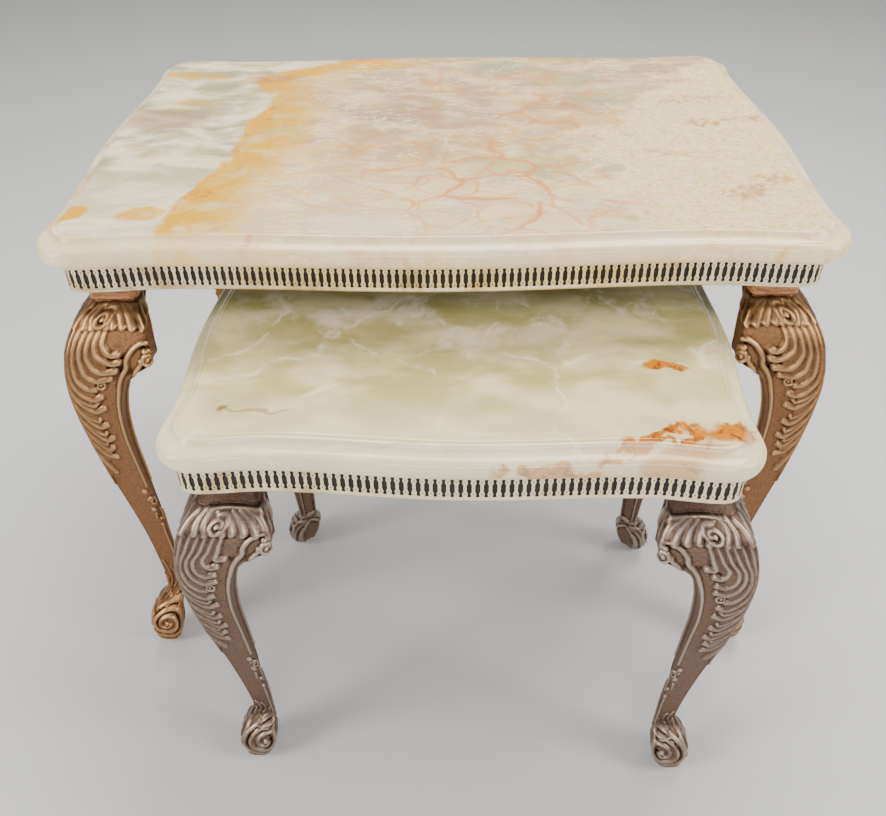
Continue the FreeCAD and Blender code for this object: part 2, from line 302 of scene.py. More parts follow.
def strip_line(table):
    """The strip's outer face in plan: points and outward directions by distance round it."""
    plan = outline(table, table["strip_inset"], STRIP_CORNER_RADIUS)
    plan = np.vstack([plan, plan[:1]])
    lengths = np.hypot(*np.diff(plan, axis=0).T)
    around = np.concatenate([[0], np.cumsum(lengths)])
    ahead = np.roll(plan[:-1], -1, axis=0) - np.roll(plan[:-1], 1, axis=0)
    ahead /= np.hypot(*ahead.T)[:, None]
    outward = np.stack([ahead[:, 1], -ahead[:, 0]], axis=1)
    return around, plan, np.vstack([outward, outward[:1]])


def on_strip(line, distance):
    around, plan, outward = line
    distance = distance % around[-1]
    point = np.stack([np.interp(distance, around, plan[:, k]) for k in (0, 1)], axis=-1)
    facing = np.stack([np.interp(distance, around, outward[:, k]) for k in (0, 1)], axis=-1)
    return point, facing / np.hypot(facing[..., 0], facing[..., 1])[..., None]


def cell_centres(line):
    """The cells' middles by distance round the strip, as even as a whole number of them allows."""
    cells = round(line[0][-1] / CELL_PITCH)
    return (np.arange(cells) + 0.5) * line[0][-1] / cells


def gallery_strip(table, material):
    line = strip_line(table)
    centres = cell_centres(line)
    flat, triangles, walls = gallery_cell(2 * centres[0])
    count = len(flat)
    distance = centres[:, None] + flat[None, :, 0]
    height = np.broadcast_to(flat[None, :, 1], distance.shape)
    point, facing = on_strip(line, distance.ravel())
    from_edge = np.minimum(height, STRIP_HEIGHT - height).ravel()
    middle = np.mean(RIM_ROWS[1:3])
    proud = RIM_PROUD * np.sqrt(np.clip(1 - ((from_edge - middle) / middle) ** 2, 0, 1))
    front = point + facing * proud[:, None]
    back = point - facing * STRIP_THICKNESS
    z = table["strip_bottom"] + height.ravel()
    points = np.vstack([place(table, *front.T, z), place(table, *back.T, z)])
    firsts = np.arange(len(centres))[:, None, None] * count
    faces = (triangles[None] + firsts).reshape(-1, 3)
    behind = len(front)
    a, b = ((walls[None, :, k] + firsts[:, :, 0]).ravel() for k in (0, 1))
    quads = np.stack([a, a + behind, b + behind, b], axis=1)
    keys, merged = np.unique(np.round(points / MM, 3), axis=0, return_inverse=True)
    merged = merged.ravel()
    face_sets = [merged[faces], merged[faces[:, ::-1] + behind], merged[quads]]
    piece = add_mesh(table["prefix"] + "pierced_gallery", keys * MM, face_sets)
    sharpen(piece, 40)
    finish_piece(piece, table, "gallery_strip", material)


def sharpen(piece, degrees):
    """Keeps edges that turn by more than an angle crisp under smooth shading."""
    piece.data.set_sharp_from_angle(angle=math.radians(degrees))


def pin_spots(table):
    """Where the pins hold the strip, in plan, before each is moved to the nearest hole."""
    half_x = table["width"] / 2 - table["strip_inset"]
    half_y = table["depth"] / 2 - table["strip_inset"]
    reach_x = table["front_reach"] - table["strip_inset"] * REACH_LOSS_SHARE
    reach_y = table["side_reach"] - table["strip_inset"] * REACH_LOSS_SHARE
    spots = []
    for x in np.linspace(-reach_x, reach_x, table["pins_along_front"]):
        spots += [(x, -half_y), (x, half_y)]
    for y in np.linspace(-reach_y, reach_y, table["pins_along_side"]):
        spots += [(-half_x, y), (half_x, y)]
    return spots


def gallery_pins(table, material):
    """Small domed heads, each over a hole of the strip's lower row."""
    line = strip_line(table)
    holes, facings = on_strip(line, cell_centres(line))
    dome = smooth([(0.9, 0.0), (0.86, 0.18), (0.66, 0.38), (0.36, 0.48), (0.05, 0.5)], 2)
    sides = 14
    angles = 2 * np.pi * np.arange(sides) / sides
    points = []
    faces = []
    caps = []
    for x, y in pin_spots(table):
        nearest = np.argmin(np.hypot(holes[:, 0] - x, holes[:, 1] - y))
        hole, facing = holes[nearest], facings[nearest]
        level = table["strip_bottom"] + HOLE_HEIGHTS[0]
        first = len(points) * sides
        for radius, out in dome:
            across = radius * np.cos(angles)[:, None] * np.array([-facing[1], facing[0]])
            ring = hole + across + facing * out
            points.append(place(table, *ring.T, level + radius * np.sin(angles)))
        faces.append(ring_faces(len(dome), sides) + first)
        caps.append(first + (len(dome) - 1) * sides + np.arange(sides)[None, :])
        caps.append(first + np.arange(sides)[None, ::-1])
    piece = add_mesh(table["prefix"] + "pin_heads", np.vstack(points), [np.vstack(faces), np.vstack(caps)])
    finish_piece(piece, table, "gallery_pins", material)


# --- The cast legs ---
# Relief is drawn on half of a leg's section. A point of it is (a, s): a is 0 at the ridge, 1 at the face's
# inner edge and 2 where the return behind that edge ends, and s is the distance down the small table's
# leg before it was shortened; the "leaf_marks" say where on each table's leg the same features come.


def leg_sections(table):
    """For each row of the leg: its distance below the level, outer inset, inner inset and return share."""
    curve = smooth(LEG_PROFILE, 12)
    drops = np.linspace(LEG_PROFILE[0][0], LEG_PROFILE[-1][0], LEG_ROWS)
    outer, inner, share, foot = (np.interp(drops, curve[:, 0], curve[:, k]) for k in (1, 2, 3, 4))
    foot = foot * table["foot_inset"]
    return drops, outer + foot, inner + foot, share


def half_section(drops, outer, inner, share):
    """Half of each row's section, from the ridge to the middle of its back: points, directions, across."""
    width = inner - outer
    back = width * share
    at, ridge, edge = np.array(ROUNDING).T
    ridge = np.minimum(np.interp(drops, at, ridge), 0.4 * width)
    edge = np.minimum(np.interp(drops, at, edge), 0.45 * back)
    points, directions, across = [], [], []

    def column(x, y, dx, dy, distance):
        points.append(np.stack([x, y], axis=-1))
        directions.append(np.stack([dx + 0 * x, dy + 0 * x], axis=-1))
        across.append(distance)

    for t in np.arange(RIDGE_COLUMNS) / RIDGE_COLUMNS:
        angle = math.pi / 4 * (1 + t)
        dx, dy = -math.cos(angle), -math.sin(angle)
        x = outer + ridge * (1 + dx)
        column(x, outer + ridge * (1 + dy), dx, dy, x - outer)
    for t in np.arange(FACE_COLUMNS) / FACE_COLUMNS:
        x = outer + ridge + t * (width - ridge - edge)
        column(x, outer, 0, -1, x - outer)
    for t in np.arange(EDGE_COLUMNS) / EDGE_COLUMNS:
        angle = math.pi / 2 * (t - 1)
        dx, dy = math.cos(angle), math.sin(angle)
        distance = width - edge + edge * (angle + math.pi / 2)
        column(inner - edge * (1 - dx), outer + edge * (1 + dy), dx, dy, distance)
    for t in np.arange(RETURN_COLUMNS) / RETURN_COLUMNS:
        y = outer + edge + t * (back - edge)
        column(inner, y, 1, 0, width + y - outer)
    middle = (outer + inner + back) / 2
    diagonal = math.sqrt(0.5)
    for t in np.linspace(0, 1, BACK_COLUMNS):
        x = inner + t * (middle - inner)
        y = outer + back + t * (middle - outer - back)
        column(x, y, diagonal, diagonal, width + back + np.hypot(x - inner, y - outer - back))
    return np.stack(points, axis=1), np.stack(directions, axis=1), np.stack(across, axis=1)


class Casting:
    """The relief of one table's leg, by row and column of half its section, in millimetres."""

    def __init__(self, table, across, drops, width, back):
        self.marks = (SMALL["leaf_marks"], table["leaf_marks"])
        self.squash = table["leg_height_scale"]
        self.across, self.drops, self.width, self.back = across, drops * self.squash, width, back
        self.relief = np.zeros_like(across)

    def put(self, points):
        """Pattern points (a, s) as distances across and down the leg."""
        a, s = np.asarray(points, dtype=float).T
        return self.put_here(np.stack([a, np.interp(s, *self.marks)], axis=1))

    def put_here(self, points):
        """The same for points whose second number is the distance down this table's own leg."""
        a, down = np.asarray(points, dtype=float).T
        down = down * self.squash
        width = np.interp(down, self.drops, self.width)
        back = np.interp(down, self.drops, self.back)
        return np.stack([np.minimum(a, 1) * width + np.maximum(a - 1, 0) * back, down], axis=1)

    def stroke(self, path, half_widths, heights):
        """Raises a rounded stroke whose half-width and height change evenly along it."""
        self.raise_line(self.put(smooth(path, 6)), half_widths, heights)

    def dot(self, a, s, radius, height):
        self.bead(self.put([(a, s)]), radius, height)

    def bead(self, centre, radius, height):
        """Raises a round bead about a point already put on the leg."""
        self.raise_line(np.vstack([centre, centre + (0, 0.5)]), (radius, radius), (height, height))

    def coil(self, centre, radii, first_angle, turns, half_widths, heights, points=40):
        """Raises a flat spiral about a point already put on the leg; angles in degrees from across."""
        t = np.linspace(0, 1, points)
        angles = np.radians(first_angle + 360 * turns * t)
        reach = FEATURE_SIZE * (radii[0] + (radii[1] - radii[0]) * t)
        line = centre + reach[:, None] * np.stack([np.cos(angles), np.sin(angles)], axis=1)
        self.raise_line(line, half_widths, heights)

    def raise_line(self, line, half_widths, heights):
        """Raises the rounded ridge along a line put on the leg, where it stands above what is there."""
        reach = FEATURE_SIZE * max(half_widths)
        rows = (self.drops > line[:, 1].min() - reach) & (self.drops < line[:, 1].max() + reach)
        u = self.across[rows]
        s = np.broadcast_to(self.drops[rows][:, None], u.shape)
        start = line[:-1]
        run = line[1:] - start
        run_squared = np.maximum((run**2).sum(axis=1), 1e-9)
        du = u[..., None] - start[:, 0]
        ds = s[..., None] - start[:, 1]
        t = np.clip((du * run[:, 0] + ds * run[:, 1]) / run_squared, 0, 1)
        distance = np.hypot(du - t * run[:, 0], ds - t * run[:, 1])
        nearest = distance.argmin(axis=-1)[..., None]
        along = (nearest + np.take_along_axis(t, nearest, axis=-1))[..., 0] / len(run)
        distance = np.take_along_axis(distance, nearest, axis=-1)[..., 0] / FEATURE_SIZE
        half_width = half_widths[0] + (half_widths[1] - half_widths[0]) * along
        height = heights[0] + (heights[1] - heights[0]) * along
        bead = FEATURE_SIZE * height * np.clip(1 - (distance / half_width) ** 2, 0, 1) ** STROKE_ROUNDNESS
        self.relief[rows] = np.maximum(self.relief[rows], bead)


def draw_ground(casting):
    """The leaf's own thickness: a low step that ends in lobes, and the domed collar's above it."""
    contour = [(36, 0.5), (50, 0.5), (60, 0.56), (66, 0.5), (71, 0.56), (76, 0.5), (82, 0.57), (86, 0.54)]
    contour += [(91, 0.6), (96, 0.5), (104, 0.44), (112, 0.52), (119, 0.44), (126, 0.55), (134, 0.42)]
    contour += [(144, 0.52), (151, 0.4), (160, 0.54), (166, 0.4), (172, 0.46), (178, 0.36), (185, 0.44)]
    contour = casting.put([(a, s) for s, a in contour + [(191, 0.2), (200, 0.24), (206, 0.08), (213, 0.0)]])
    drops = casting.drops
    reach = np.interp(drops, contour[:, 1], contour[:, 0])
    leaf = np.clip((reach[:, None] - casting.across) / 2.0, 0, 1)
    leaf *= ((drops > contour[0, 1]) & (drops < contour[-1, 1]))[:, None]
    top, bottom = casting.put([(0, 16), (0, 39)])[:, 1]
    rise = np.clip((drops - top) / 3, 0, 1) * np.clip((bottom - drops) / 4, 0, 1)
    ends = np.clip((casting.width + 0.8 * casting.back)[:, None] - casting.across, 0, 6) / 6
    dome = np.sqrt(rise)[:, None] * ends
    casting.relief = np.maximum(LEAF_THICKNESS * leaf, COLLAR_THICKNESS * dome)


def draw_leaf(casting):
    """Strands that swing out to the lobes at the leaf's edge, the lower ones with a thin one above each."""
    strands = [
        [(0.5, 37), (0.455, 50), (0.47, 57), (0.54, 62), (0.62, 61)],
        [(0.42, 37), (0.36, 52), (0.37, 62), (0.45, 69), (0.55, 72), (0.62, 70)],
        [(0.33, 37), (0.27, 55), (0.27, 67), (0.35, 78), (0.49, 83), (0.63, 81)],
        [(0.25, 37), (0.19, 56), (0.19, 71), (0.28, 85), (0.46, 93), (0.66, 90)],
        [(0.16, 37), (0.11, 59), (0.11, 76), (0.19, 93), (0.34, 102), (0.47, 103)],
        [(0.07, 37), (0.055, 59), (0.06, 81), (0.12, 99), (0.28, 111), (0.45, 115), (0.58, 111.5)],
        [(0.04, 60), (0.03, 86), (0.08, 108), (0.22, 122), (0.42, 129), (0.61, 125)],
        [(0.03, 82), (0.03, 106), (0.1, 126), (0.25, 140), (0.42, 147), (0.58, 144)],
        [(0.03, 100), (0.03, 123), (0.1, 141), (0.26, 155), (0.45, 163), (0.61, 160)],
        [(0.03, 116), (0.03, 137), (0.1, 154), (0.25, 168), (0.4, 175), (0.52, 172)],
        [(0.03, 131), (0.04, 153), (0.12, 169), (0.28, 181), (0.5, 185)],
        [(0.03, 150), (0.04, 169), (0.1, 185), (0.27, 200)],
    ]
    for path in strands:
        casting.stroke(path, (2.5, 4.3), (2.0, 2.5))
    above = 6.5
    for start, *bends, tip in strands[6:]:
        beside = [(start[0] - 0.02, start[1] - 0.15 * above)]
        beside += [(a - 0.008, s - above * min(1, 0.3 + 0.25 * i)) for i, (a, s) in enumerate(bends)]
        beside.append((tip[0] - 0.1, tip[1] - above))
        casting.stroke(beside, (1.4, 2.6), (1.7, 2.2))
    casting.stroke([(0.0, 40), (0.0, 90), (0.0, 150), (0.01, 213)], (2.4, 1.6), (2.2, 1.9))
    casting.stroke([(0.1, 112), (0.07, 150), (0.07, 190), (0.04, 213)], (1.2, 1.2), (1.6, 1.8))
    casting.stroke([(0.0, 213), (0.0, 344)], (1.3, 1.3), (1.0, 1.0))
    casting.dot(0.02, 212, 2.3, 2.3)
    casting.dot(0.0, 325, 2.4, 2.3)
    curl = casting.put([(0.57, 98)])
    casting.coil(curl, (3.0, 4.6), 160, 0.95, (1.3, 1.7), (2.3, 2.3))
    casting.dot(0.57, 97.5, 2.2, 2.3)


def draw_collar(casting):
    """The volute over the leaf's top, and the petals that fan out from it to both sides."""
    petals = [
        [(0.12, 19), (0.065, 25), (0.045, 35.5)],
        [(0.02, 21), (0.0, 27), (0.0, 34)],
        [(0.24, 18), (0.19, 26), (0.2, 36)],
        [(0.3, 18), (0.27, 28), (0.31, 36.5)],
    ]
    for path in petals:
        casting.stroke(path, (2.8, 4.6), (2.5, 3.0))
    fan = [(0.5, 36.5), (0.6, 35.5), (0.73, 36), (0.86, 37), (1.03, 38), (1.4, 37), (1.8, 33)]
    for number, (a, s) in enumerate(fan):
        start = 0.4 + 0.1 * number
        path = [(start, 19.5 - 0.3 * number), (start + 0.3 * (a - start), 20.5)]
        path += [(start + 0.75 * (a - start), 25.5), (a, s)]
        casting.stroke(path, (2.0, 4.6), (2.3, 2.9))
    casting.stroke([(0.24, 19), (0.42, 16.8), (0.66, 16.6), (0.95, 18)], (1.9, 1.6), (2.5, 2.2))
    eye = casting.put([(0.43, 29.5)])
    casting.coil(eye, (9.0, 3.4), -110, 1.35, (3.4, 2.6), (3.2, 3.4))
    casting.dot(0.43, 29.5, 3.2, 3.9)


def draw_scroll_edge(casting, end):
    """The double bead down the inner edge, which begins in a volute under the head."""
    inner = [(1.0, 36), (0.94, 35), (0.86, 37), (0.77, 42), (0.70, 50), (0.73, 56), (0.82, 65)]
    inner += [(0.88, 76), (0.90, 90), (0.915, 110), (0.92, 132), (0.94, 150), (0.95, 180), (0.94, end)]
    outer = [(0.86, 50), (0.88, 57), (1.0, 63), (1.3, 67), (1.7, 74), (1.85, 86), (1.87, 110)]
    outer += [(1.87, 150), (1.87, end)]
    casting.raise_line(casting.put_here(smooth(inner, 6)), (3.0, 2.5), (2.6, 2.3))
    casting.raise_line(casting.put_here(smooth(outer, 6)), (2.6, 2.4), (2.4, 2.3))
    volute = casting.put_here([(0.95, 48)])
    casting.coil(volute, (8.5, 3.5), -120, 1.25, (3.0, 2.6), (2.6, 3.0), 30)
    casting.bead(volute, 3.6, 3.4)


def draw_ornaments(casting):
    """The knot of beads below the double bead's end, and the rocaille that climbs from the foot."""
    for a, s, radius in ((0.8, 227, 4.0), (0.84, 246, 4.2), (1.0, 268, 3.0), (0.96, 283, 3.4)):
        casting.dot(a, s, radius, 2.8)
    casting.coil(casting.put([(1.0, 237)]), (6.6, 2.5), -150, 1.3, (2.4, 1.8), (2.6, 2.6))
    lines = [
        [(0.84, 256), (0.82, 266)],
        [(1.5, 250), (1.6, 262), (1.5, 276)],
        [(0.94, 288), (0.95, 300), (0.98, 325), (1.05, 350), (1.1, 372), (1.1, 388)],
        [(1.86, 263), (1.86, 300), (1.86, 347)],
    ]
    for path in lines:
        casting.stroke(path, (2.3, 2.3), (2.1, 2.1))
    sprays = [
        [(0.24, 316), (0.36, 321), (0.4, 330), (0.28, 338)],
        [(0.5, 320), (0.62, 325), (0.6, 334), (0.46, 339)],
        [(0.84, 330), (0.78, 340), (0.62, 345)],
        [(0.15, 330), (0.22, 342), (0.36, 347)],
        [(1.0, 340), (0.9, 351), (0.66, 355), (0.4, 352)],
    ]
    for path in sprays:
        casting.stroke(path, (1.5, 2.0), (1.9, 2.1))


def draw_foot(casting, eye):
    """The foot's scroll: a bead for its eye, and a coil that opens from there over the bulb."""
    centre = casting.put_here([eye])
    casting.coil(centre, (4.6, 33.0), 20, 3.3, (3.0, 4.6), (2.5, 2.1), 110)
    casting.bead(centre, 3.4, 3.0)


def blurred(field, reach):
    """The field averaged over a square window, twice."""
    for _ in range(2):
        for axis in (0, 1):
            padding = [(0, 0), (0, 0)]
            padding[axis] = (reach + 1, reach)
            total = np.cumsum(np.pad(field, padding, mode="edge"), axis=axis)
            span = 2 * reach + 1
            ahead = np.take(total, np.arange(span, total.shape[axis]), axis=axis)
            field = (ahead - np.take(total, np.arange(total.shape[axis] - span), axis=axis)) / span
    return field


def leg_relief(table, across, drops, width, back):
    """How far the casting stands out of its plain ground, by row and column of half the section."""
    casting = Casting(table, across, drops, width, back)
    draw_ground(casting)
    draw_leaf(casting)
    draw_scroll_edge(casting, table["scroll_end"])
    draw_ornaments(casting)
    draw_foot(casting, table["foot_eye"])
    draw_collar(casting)
    relief = casting.relief

    # A stippled patch fills the ground between the leaf and the volute.
    grains = np.random.default_rng(7).random(relief.shape)
    centre = casting.put([(0.7, 47)])[0]
    patch = np.clip(1 - np.hypot((across - centre[0]) / 8, (casting.drops[:, None] - centre[1]) / 12), 0, 1)
    relief += 1.5 * np.minimum(patch * 3, 1) * (blurred(grains, 1) - 0.4) * (relief < 0.6)
    neck_end = casting.put([(0, 17)])[0, 1]
    return relief * np.clip((casting.drops - neck_end + 2) / 2, 0, 1)[:, None]


def leg_loop(half):
    """Half a section joined to its mirror image across the diagonal."""
    other = half[:, -2:0:-1]
    return np.concatenate([half, other[..., ::-1]], axis=1)


def make_leg_form(table):
    """A table's leg: insets from both sides, distances below the level, and the cavity and relief maps."""
    drops, outer, inner, share = leg_sections(table)
    points, directions, across = half_section(drops, outer, inner, share)
    width = inner - outer
    relief = leg_relief(table, across, drops, width, width * share)
    points = points + directions * (relief - GROUND_SET_BACK)[..., None]
    cavity = np.clip(0.5 + 0.5 * (relief - blurred(relief, 2)), 0, 1)
    maps = [np.concatenate([values, values[:, -2:0:-1]], axis=1) for values in (cavity, relief)]
    return leg_loop(points), drops, maps


def leg(table, corner, form, material):
    loop, drops, maps = form
    sx = 1 if "right" in corner else -1
    sy = 1 if "back" in corner else -1
    side = table["width"] / 2 + RIDGE_LEAST_INSET - table["ridge_side_inset"]
    front = table["depth"] / 2 + RIDGE_LEAST_INSET - table["ridge_front_inset"]
    x = sx * (side - loop[..., 0]) + table["legs_aside"]
    y = sy * (front - loop[..., 1])
    z = np.broadcast_to((table["leg_height_scale"] * (DESIGN_LEVEL - drops))[:, None], x.shape)
    points = place(table, x.ravel(), y.ravel(), z.ravel())
    rows, columns = x.shape
    faces = ring_faces(rows, columns)
    top = np.arange(columns)[None, :]
    bottom = (rows - 1) * columns + top[:, ::-1]
    face_sets = [faces, top, bottom]
    if sx * sy > 0:
        face_sets[0] = faces[:, ::-1]
    else:
        face_sets[1:] = [top[:, ::-1], bottom[:, ::-1]]
    piece = add_mesh(table["prefix"] + "cast_leg_" + corner, points, face_sets)
    for name, values in zip(("cavity", "relief"), maps):
        layer = piece.data.attributes.new(name, "FLOAT", "POINT")
        layer.data.foreach_set("value", values.astype(np.float32).ravel())
    finish_piece(piece, table, "leg_" + corner, material)


# --- Materials ---


def colour(red, green, blue):
    """A colour as a screen shows it, from 0 to 255, as the shader's linear one."""
    return tuple((part / 255) ** 2.2 for part in (red, green, blue)) + (1.0,)


class Shader:
    """A node material, built up from Values."""

    def __init__(self, name):
        self.material = bpy.data.materials.new(name)
        self.material.use_nodes = True
        self.tree = self.material.node_tree

    def feed(self, socket, value):
        if isinstance(value, Value):
            self.tree.links.new(value.socket, socket)
        else:
            socket.default_value = value

    def add(self, kind, inputs, output=0, **settings):
        """Adds a node and returns one of its outputs, by number or by name."""
        node = self.tree.nodes.new("ShaderNode" + kind)
        for key, value in settings.items():
            setattr(node, key, value)
        for key, value in inputs.items():
            self.feed(node.inputs[key], value)
        return Value(self, node.outputs[output])

    def set(self, **values):
        """Sets sockets of the surface; an underscore stands for a space in a socket's name."""
        for name, value in values.items():
            self.feed(self.tree.nodes["Principled BSDF"].inputs[name.replace("_", " ")], value)

    def spot_on(self, table):
        """The table's own coordinates in millimetres, from the middle of its top's plan."""
        cx, cy = table["centre"]
        inputs = {"Vector": self.add("TexCoord", {}, "Object"), "Rotation": (0, 0, table["turn"])}
        inputs.update({"Location": (cx * MM, cy * MM, table["top"] * MM), "Scale": (MM, MM, MM)})
        return self.add("Mapping", inputs, vector_type="TEXTURE")

    def bump(self, height, strength, distance):
        self.set(Normal=self.add("Bump", {"Height": height, "Strength": strength, "Distance": distance}))


class Value:
    """A node's output. Each operation on it adds a node to its material and gives that node's output."""

    def __init__(self, shader, socket):
        self.shader = shader
        self.socket = socket

    def maths(self, operation, *others, **settings):
        return self.shader.add("Math", dict(enumerate((self, *others))), operation=operation, **settings)

    # The usual signs work on values, and | joins two masks by taking the larger.
    __add__ = functools.partialmethod(maths, "ADD")
    __sub__ = functools.partialmethod(maths, "SUBTRACT")
    __mul__ = functools.partialmethod(maths, "MULTIPLY")
    __or__ = functools.partialmethod(maths, "MAXIMUM")
    __abs__ = functools.partialmethod(maths, "ABSOLUTE")

    def vectors(self, operation, other=(0, 0, 0), output="Vector"):
        return self.shader.add("VectorMath", {0: self, 1: other}, output, operation=operation)

    def stretched(self, x, y, z=1):
        return self.vectors("MULTIPLY", (x, y, z))

    def part(self, axis):
        return self.shader.add("SeparateXYZ", {0: self}, axis)

    def noise(self, size, detail=3.0, roughness=0.5, output=0):
        """Smooth noise whose features are about size millimetres across."""
        inputs = {"Vector": self, "Scale": 1.0 / size, "Detail": detail, "Roughness": roughness}
        return self.shader.add("TexNoise", inputs, output)

    def warp(self, size, amount, detail=2.0):
        """The coordinates pushed about by noise, by up to half of amount each way."""
        push = self.noise(size, detail, 0.5, 1).vectors("SUBTRACT", (0.5, 0.5, 0.5))
        push = self.shader.add("VectorMath", {0: push, "Scale": amount}, operation="SCALE")
        return self.vectors("ADD", push)

    def step(self, low, high):
        """0 below low, 1 above high, smooth between; the other way round where low is the larger."""
        inputs = {"Value": self, "From Min": low, "From Max": high}
        return self.shader.add("MapRange", inputs, interpolation_type="SMOOTHSTEP")

    def spread(self, low, high):
        """A value from 0 to 1 as one from low to high."""
        return self.shader.add("MapRange", {"Value": self, "To Min": low, "To Max": high})

    def mix(self, a, b):
        """Colour a where this mask is 0, colour b where it is 1."""
        return self.shader.add("Mix", {0: self, 6: a, 7: b}, 2, data_type="RGBA")

    def line(self, points, y_range, x_range):
        """A wandering line across the plan: its x where it crosses each y, through a few points."""
        share = self.shader.add("MapRange", {"Value": self, "From Min": y_range[0], "From Max": y_range[1]})
        high = self.shader.add("FloatCurve", {"Value": share})
        mapping = high.socket.node.mapping
        curve = mapping.curves[0]
        for number, (x, y) in enumerate(sorted(points, key=lambda point: point[1])):
            spot = [(value - ends[0]) / (ends[1] - ends[0]) for value, ends in ((y, y_range), (x, x_range))]
            if number < 2:
                curve.points[number].location = spot
            else:
                curve.points.new(*spot)
        mapping.update()
        return high.spread(*x_range)

    def spot(self, x, y, long, wide, degrees=0.0, soft=0.35):
        """1 inside an ellipse of the plan, 0 outside it, softly."""
        inputs = {"Vector": self, "Location": (x, y, 0), "Rotation": (0, 0, math.radians(degrees))}
        inputs["Scale"] = (long, wide, 1000)
        local = self.shader.add("Mapping", inputs, vector_type="TEXTURE")
        return local.vectors("LENGTH", output="Value").step(1.0 + soft, 1.0 - soft)

    def spots(self, *rows):
        """Ellipses joined into one mask, each given by its strength and then as for spot()."""
        return functools.reduce(operator.or_, [self.spot(*row) * strength for strength, *row in rows])

    def cracks(self, size, thickness, stretch=(1, 1, 1)):
        """A net of veins: 1 on the lines, 0 off them."""
        inputs = {"Vector": self.vectors("DIVIDE", tuple(size * part for part in stretch)), "Scale": 1.0}
        net = self.shader.add("TexVoronoi", inputs, feature="DISTANCE_TO_EDGE")
        return net.step(thickness / size, 0.0)


CREAM = colour(252, 241, 214)
GREY_GREEN = colour(186, 184, 148)
BEIGE = colour(204, 176, 140)
GOLD = colour(240, 188, 30)
DEEP_GOLD = colour(210, 130, 20)
PEACH = colour(246, 216, 142)
CORAL = colour(232, 162, 92)
SAND = colour(252, 234, 186)
TAN = colour(206, 162, 108)
PALE_GREEN = colour(180, 188, 148)
POLISH_DEPTH = 1.3


